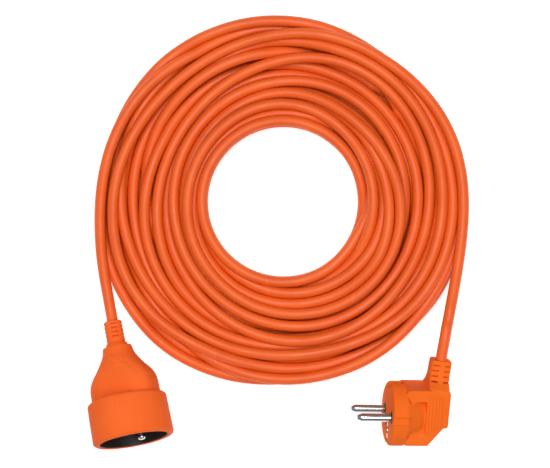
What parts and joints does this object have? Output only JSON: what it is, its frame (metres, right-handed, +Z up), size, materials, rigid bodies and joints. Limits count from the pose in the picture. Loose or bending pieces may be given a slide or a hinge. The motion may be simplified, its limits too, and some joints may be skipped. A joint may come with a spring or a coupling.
{
  "type": "extension cord",
  "caption": "Coiled three-core extension cord with a round shuttered earth-pin socket on one end and a flat-sided elbow plug with two round pins on the other.",
  "frame": {"origin": "on the floor, under the middle of the two connectors' bounding box", "axes": "+Z up from the floor; +X from the socket towards the plug; +Y from the connectors towards the coil"},
  "size_m": [0.2229, 0.2523, 0.0505],
  "materials": {
    "cord_sheath": "smooth extruded PVC sheath, satin",
    "orange_pvc": "moulded soft PVC, satin",
    "black_plastic": "moulded, satin",
    "brass": "bare pressed brass",
    "nickel_plated": "bright nickel plating on brass",
    "white_plastic": "moulded, satin",
    "spring_steel": "drawn wire",
    "core_brown": "extruded insulation",
    "core_blue": "extruded insulation",
    "core_green_yellow": "extruded insulation, green with yellow stripes in the real cord"
  },
  "bodies": {
    "cord_set": {"cord_coil": "cord_sheath", "socket_lead": "cord_sheath", "plug_lead": "cord_sheath", "socket_body": "orange_pvc", "socket_insert": "black_plastic", "contact_carrier": "black_plastic", "live_contact": "brass", "neutral_contact": "brass", "earth_pin": "nickel_plated", "shutter_spring": "spring_steel", "socket_live_core": "core_brown", "socket_neutral_core": "core_blue", "socket_earth_core": "core_green_yellow", "plug_body": "orange_pvc", "plug_bridge": "black_plastic", "upper_pin": "nickel_plated", "lower_pin": "nickel_plated", "earth_contact": "nickel_plated", "earth_strip": "nickel_plated", "plug_upper_core": "core_brown", "plug_lower_core": "core_blue", "plug_earth_core": "core_green_yellow"},
    "shutter": {"shutter": "white_plastic"}
  },
  "joints": [
    {"name": "shutter_turn", "type": "hinge", "parent": "cord_set", "child": "shutter", "pos_m": [-0.08186, -0.01361, 0.02388], "axis": [0.1872, -0.9542, 0.2334], "range_deg": [0, 38], "stiffness_Nm_per_rad": 0.002, "springref_deg": -11.46, "deforming": ["shutter_spring"]}
  ]
}
